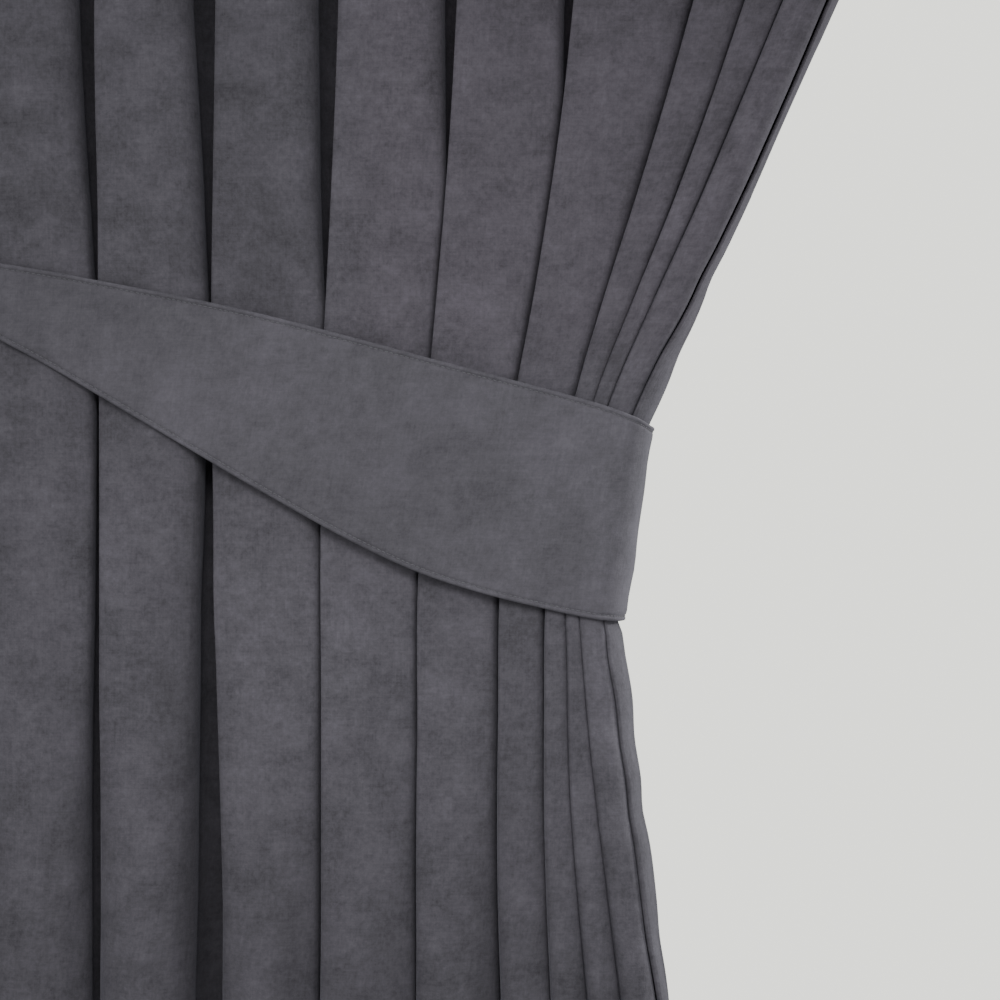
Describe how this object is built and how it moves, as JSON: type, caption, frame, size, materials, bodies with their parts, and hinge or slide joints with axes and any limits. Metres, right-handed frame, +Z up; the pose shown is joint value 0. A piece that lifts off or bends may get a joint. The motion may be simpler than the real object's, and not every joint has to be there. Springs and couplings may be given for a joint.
{
  "type": "velvet drape with tieback",
  "caption": "Velvet window drape in deep folds, swept to one side and held by a broad shaped tieback with a stitched border.",
  "frame": {"origin": "middle of the drape's top edge, where it is hung", "axes": "+Z up, +X along the width towards the swept leading edge, +Y towards the wall; the drape faces -Y"},
  "size_m": [0.8694, 0.0811, 2.5],
  "materials": {
    "velvet": "matt nap",
    "band_velvet": "matt nap"
  },
  "bodies": {
    "root": {"drape": "velvet", "tieback": "band_velvet"}
  },
  "joints": []
}
